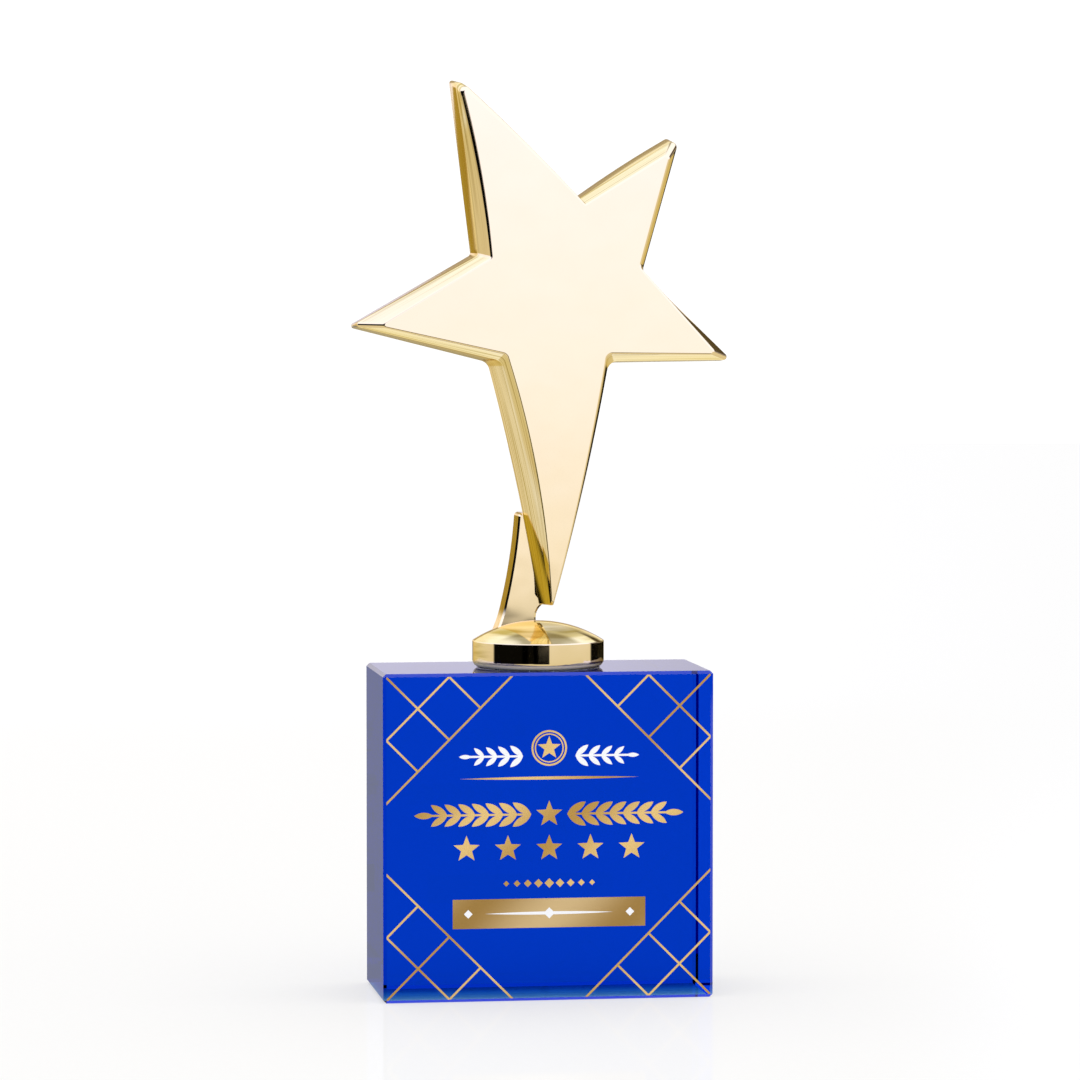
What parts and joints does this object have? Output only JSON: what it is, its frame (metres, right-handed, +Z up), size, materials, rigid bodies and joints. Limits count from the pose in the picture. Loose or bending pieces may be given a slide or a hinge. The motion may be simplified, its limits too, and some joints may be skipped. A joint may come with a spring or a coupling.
{
  "type": "star trophy",
  "caption": "Free-standing award: a polished gold five-pointed star leaning on a curved fin and domed gold puck, on a cobalt blue crystal block with gold ornament.",
  "frame": {"origin": "middle of the crystal block's underside, where the trophy rests", "axes": "+Z up, +X to the viewer's right, -Y towards the viewer, so the printed face looks along -Y"},
  "size_m": [0.0909, 0.0377, 0.2209],
  "materials": {
    "cobalt_crystal": "polished cobalt blue crystal",
    "clear_glue": "clear cured adhesive",
    "gold_plate": "mirror-polished pale gold plating on cast metal",
    "gold_plated_screw": "gold-plated machined fastener",
    "screw_steel": "zinc-plated machined steel",
    "gold_print": "thin metallic gold foil print",
    "plate_foil": "brushed gold foil panel",
    "white_print": "white enamel print"
  },
  "bodies": {
    "root": {"crystal_block": "cobalt_crystal", "glue_film": "clear_glue", "base_puck": "gold_plate", "support_fin": "gold_plate", "star": "gold_plate", "foot_screw": "screw_steel", "foot_lock_washer": "screw_steel", "foot_flat_washer": "screw_steel", "foot_pin": "screw_steel", "star_screws": "gold_plated_screw", "star_pin": "gold_plated_screw", "lattice_top_left": "gold_print", "lattice_top_right": "gold_print", "lattice_bottom_left": "gold_print", "lattice_bottom_right": "gold_print", "emblem": "gold_print", "emblem_sprigs": "white_print", "title_rule": "gold_print", "garland": "gold_print", "star_row": "gold_print", "bead_row": "gold_print", "name_plate": "plate_foil", "name_plate_marks": "white_print"}
  },
  "joints": []
}
